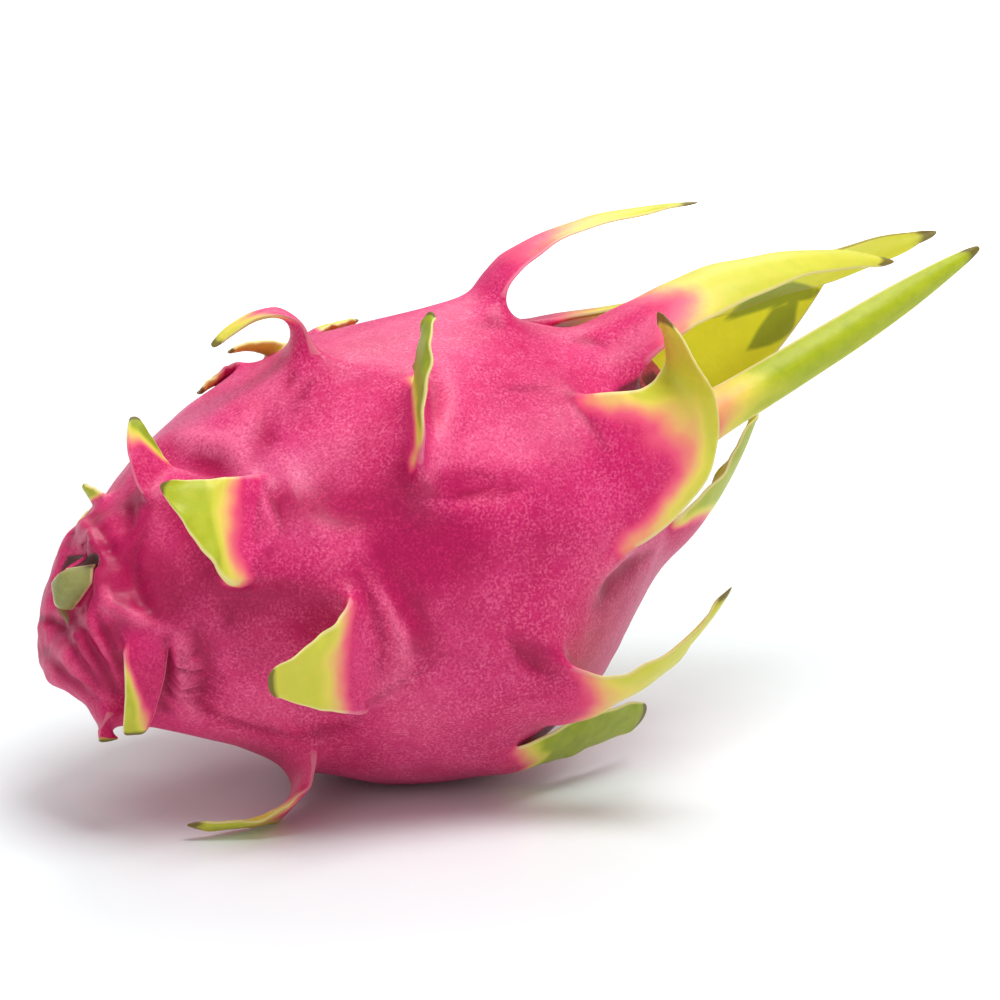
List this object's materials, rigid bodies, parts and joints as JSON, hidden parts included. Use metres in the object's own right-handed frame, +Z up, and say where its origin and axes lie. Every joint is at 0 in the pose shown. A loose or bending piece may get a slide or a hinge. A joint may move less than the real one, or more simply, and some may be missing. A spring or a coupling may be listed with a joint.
{
  "type": "dragon fruit",
  "caption": "Whole pink dragon fruit lying on its side, leathery rind drawn out into curling green-edged bracts, with a crown of long bracts at the flower end and a dry stub at the stem end",
  "frame": {"origin": "middle of the small flat spot on the belly that the fruit rests on", "axes": "+X from the stem end to the crown, -Y towards the side seen in the picture, +Z up"},
  "size_m": [0.1901, 0.1076, 0.1018],
  "materials": {
    "skin": "waxy"
  },
  "bodies": {
    "root": {"dragon_fruit": "skin"}
  },
  "joints": []
}
